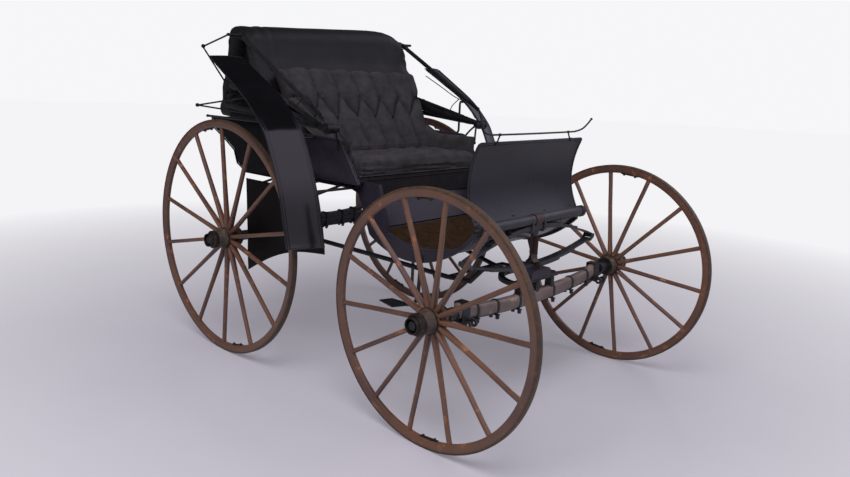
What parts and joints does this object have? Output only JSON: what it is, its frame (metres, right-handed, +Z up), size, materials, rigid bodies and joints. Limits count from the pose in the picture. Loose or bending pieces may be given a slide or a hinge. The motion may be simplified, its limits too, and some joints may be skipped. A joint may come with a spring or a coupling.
{
  "type": "horse-drawn carriage",
  "caption": "Light horse-drawn carriage with a buttoned seat, folded leather top, leather dash, side fenders and spoked wheels on leaf springs.",
  "frame": {"origin": "on the ground, under the centre of the bounding box", "axes": "+Z up, the carriage faces -Y, +X is its own left"},
  "size_m": [1.6, 2.4772, 1.6373],
  "materials": {
    "tyre_iron": "flat hoop iron, rolled and lightly rusted",
    "wheel_wood": "aged reddish-brown varnish over hickory",
    "hub_iron": "worn black paint over iron and a brass-edged band",
    "running_gear_iron": "worn black coach paint over wrought iron",
    "spring_steel": "black paint over leaf steel",
    "bed_wood": "worn brown paint over ash",
    "black_wood": "black coach varnish over wood",
    "mat_fabric": "brown woven cord",
    "cushion_cloth": "charcoal wool broadcloth, buttoned",
    "dash_leather": "black patent leather, satin with age",
    "hood_leather": "black grained top leather",
    "strap_leather": "black harness leather",
    "trim_iron": "black paint over round iron"
  },
  "bodies": {
    "carriage": {"back_cushion": "cushion_cloth", "back_panel": "black_wood", "body_irons": "trim_iron", "body_sides": "black_wood", "boot": "hood_leather", "dash": "dash_leather", "dash_irons": "trim_iron", "fender_left": "dash_leather", "fender_right": "dash_leather", "floor": "black_wood", "floor_mat": "mat_fabric", "front_spring_bar": "black_wood", "front_spring_lower": "spring_steel", "front_spring_upper": "spring_steel", "head_block": "black_wood", "hood_bows": "trim_iron", "hood_leather": "hood_leather", "prop_irons": "trim_iron", "reach": "running_gear_iron", "rear_axle": "running_gear_iron", "rear_axle_bed": "bed_wood", "rear_axle_clips": "running_gear_iron", "rear_spring_bar": "black_wood", "rear_spring_lower": "spring_steel", "rear_spring_upper": "spring_steel", "rebound_strap": "strap_leather", "seat_cushion": "cushion_cloth", "seat_fall": "cushion_cloth", "seat_frame": "black_wood", "seat_sides": "black_wood", "side_curtains": "hood_leather", "upper_fifth_wheel": "running_gear_iron"},
    "front_gear": {"front_axle": "running_gear_iron", "front_axle_bed": "bed_wood", "lower_fifth_wheel": "running_gear_iron", "shaft_couplings": "running_gear_iron"},
    "front_right_wheel": {"front_right_tyre": "tyre_iron", "front_right_felloe": "wheel_wood", "front_right_spokes": "wheel_wood", "front_right_irons": "hub_iron"},
    "front_left_wheel": {"front_left_tyre": "tyre_iron", "front_left_felloe": "wheel_wood", "front_left_spokes": "wheel_wood", "front_left_irons": "hub_iron"},
    "rear_right_wheel": {"rear_right_tyre": "tyre_iron", "rear_right_felloe": "wheel_wood", "rear_right_spokes": "wheel_wood", "rear_right_irons": "hub_iron"},
    "rear_left_wheel": {"rear_left_tyre": "tyre_iron", "rear_left_felloe": "wheel_wood", "rear_left_spokes": "wheel_wood", "rear_left_irons": "hub_iron"}
  },
  "joints": [
    {"name": "steering", "type": "hinge", "parent": "carriage", "child": "front_gear", "pos_m": [0, -0.7306, 0.55], "axis": [0, 0, 1], "range_deg": [-20, 20]},
    {"name": "front_right_wheel_spin", "type": "hinge", "parent": "front_gear", "child": "front_right_wheel", "pos_m": [-0.711, -0.7306, 0.508], "axis": [1, 0, 0], "continuous": true},
    {"name": "front_left_wheel_spin", "type": "hinge", "parent": "front_gear", "child": "front_left_wheel", "pos_m": [0.711, -0.7306, 0.508], "axis": [1, 0, 0], "continuous": true},
    {"name": "rear_right_wheel_spin", "type": "hinge", "parent": "carriage", "child": "rear_right_wheel", "pos_m": [-0.711, 0.6544, 0.5842], "axis": [1, 0, 0], "continuous": true},
    {"name": "rear_left_wheel_spin", "type": "hinge", "parent": "carriage", "child": "rear_left_wheel", "pos_m": [0.711, 0.6544, 0.5842], "axis": [1, 0, 0], "continuous": true}
  ]
}
